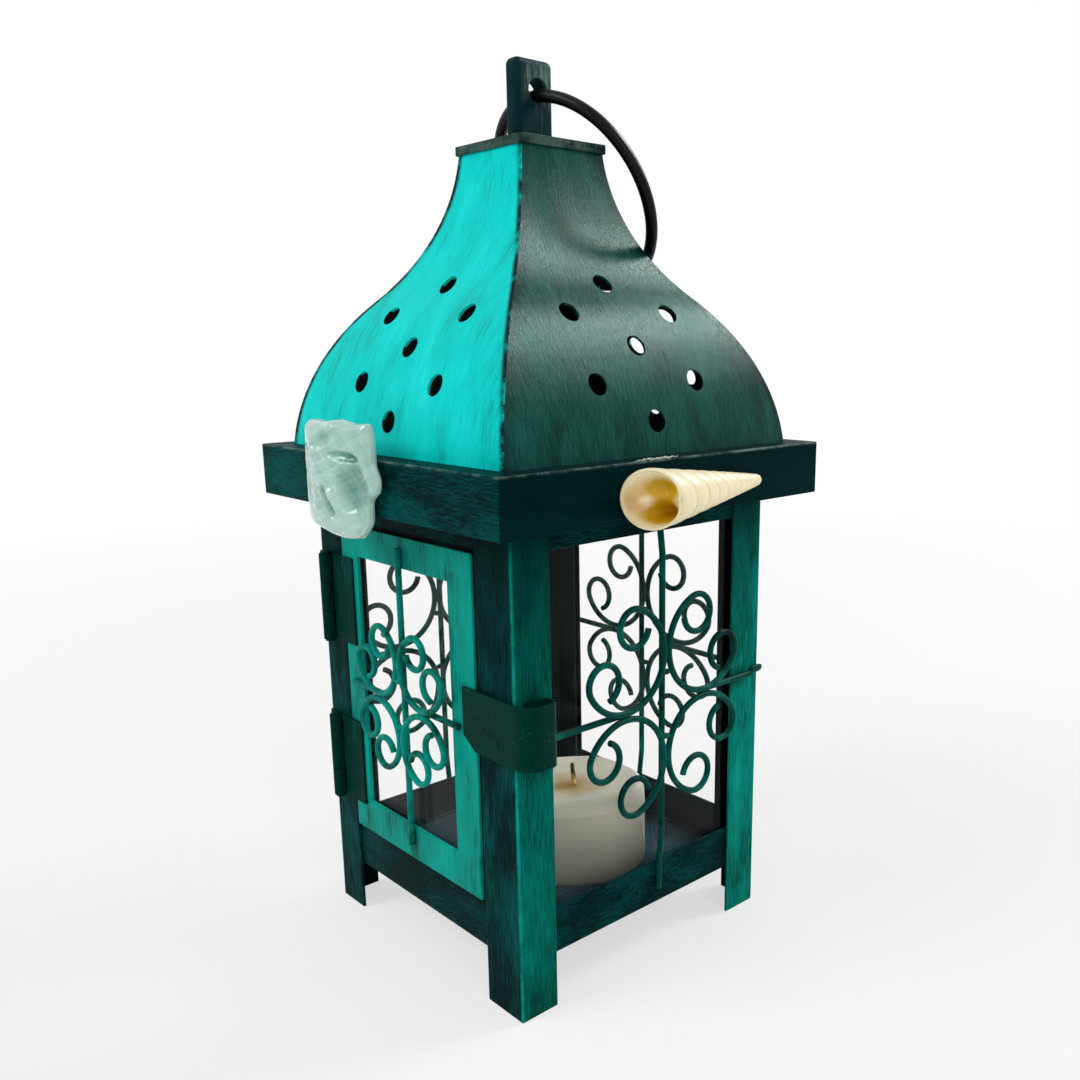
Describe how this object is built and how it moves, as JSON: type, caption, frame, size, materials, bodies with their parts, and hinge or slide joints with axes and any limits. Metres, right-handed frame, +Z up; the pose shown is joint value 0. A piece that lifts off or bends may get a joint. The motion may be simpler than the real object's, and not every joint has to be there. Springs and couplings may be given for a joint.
{
  "type": "candle lantern",
  "caption": "Square sheet-metal and glass candle lantern with an ogee vented roof, hinged glazed door with rolled latch strap, wire scrollwork and hanging ring",
  "frame": {"origin": "centre of the plane the four feet stand on, midway between the corner posts", "axes": "+Z up, -Y out of the door, +X out of the face on the door's right-hand side"},
  "size_m": [0.1401, 0.134, 0.2678],
  "materials": {
    "teal_painted_metal": "hand-painted sheet metal, satin, brushed by hand",
    "dark_painted_metal": "near-black teal hand paint on sheet metal",
    "roof_painted_metal": "turquoise hand paint over a dark base, dry-brushed",
    "worn_painted_metal": "dark green paint worn grey at the edges",
    "black_ring_metal": "black painted wire",
    "teal_wire_metal": "teal painted wire",
    "window_glass": "clear sheet glass",
    "candle_wax": "cream wax, melted top",
    "burnt_wick": "burnt cotton wick",
    "sea_worn_glass": "frosted aqua glass worn by the sea",
    "ivory_shell": "ivory shell with an ochre mouth",
    "dried_glue": "dried clear glue"
  },
  "bodies": {
    "lantern": {"base_tray": "dark_painted_metal", "candle": "candle_wax", "candle_wick": "burnt_wick", "glass_left": "window_glass", "glass_rear": "window_glass", "glass_right": "window_glass", "glass_strip_hinge_side": "dark_painted_metal", "glass_strip_latch_side": "dark_painted_metal", "glass_strip_rear_left": "dark_painted_metal", "glass_strip_rear_right": "dark_painted_metal", "glue": "dried_glue", "hanger_post": "worn_painted_metal", "hinge_pin_lower": "worn_painted_metal", "hinge_pin_upper": "worn_painted_metal", "hinge_post_leaf_lower": "dark_painted_metal", "hinge_post_leaf_upper": "dark_painted_metal", "left_cross_wires": "teal_wire_metal", "left_scrolls_lower": "teal_wire_metal", "left_scrolls_upper": "teal_wire_metal", "left_upright": "teal_wire_metal", "post_hinge_side": "teal_painted_metal", "post_latch_side": "teal_painted_metal", "post_rear_left": "teal_painted_metal", "post_rear_right": "teal_painted_metal", "rear_cross_wires": "teal_wire_metal", "rear_scrolls_lower": "teal_wire_metal", "rear_scrolls_upper": "teal_wire_metal", "rear_upright": "teal_wire_metal", "right_cross_wires": "teal_wire_metal", "right_scrolls_lower": "teal_wire_metal", "right_scrolls_upper": "teal_wire_metal", "right_upright": "teal_wire_metal", "roof_cap": "worn_painted_metal", "roof_panel_front": "roof_painted_metal", "roof_panel_left": "roof_painted_metal", "roof_panel_rear": "roof_painted_metal", "roof_panel_right": "roof_painted_metal", "roof_plate": "dark_painted_metal", "roof_rim": "dark_painted_metal", "sea_glass": "sea_worn_glass", "top_frame": "dark_painted_metal", "turret_shell": "ivory_shell"},
    "door": {"door_cross_wires": "teal_wire_metal", "door_frame": "teal_painted_metal", "door_glass": "window_glass", "door_glass_clips": "dark_painted_metal", "door_latch": "dark_painted_metal", "door_scrolls_lower": "teal_wire_metal", "door_scrolls_upper": "teal_wire_metal", "door_upright": "teal_wire_metal", "hinge_door_leaf_lower": "dark_painted_metal", "hinge_door_leaf_upper": "dark_painted_metal"},
    "ring": {"hanger_ring": "black_ring_metal"}
  },
  "joints": [
    {"name": "door_swing", "type": "hinge", "parent": "lantern", "child": "door", "pos_m": [-0.0435, -0.05235, 0.0815], "axis": [0, 0, -1], "range_deg": [0, 110]},
    {"name": "ring_swing", "type": "hinge", "parent": "lantern", "child": "ring", "pos_m": [0, 0.001, 0.2578], "axis": [1, 0, 0], "range_deg": [0, 290]}
  ]
}
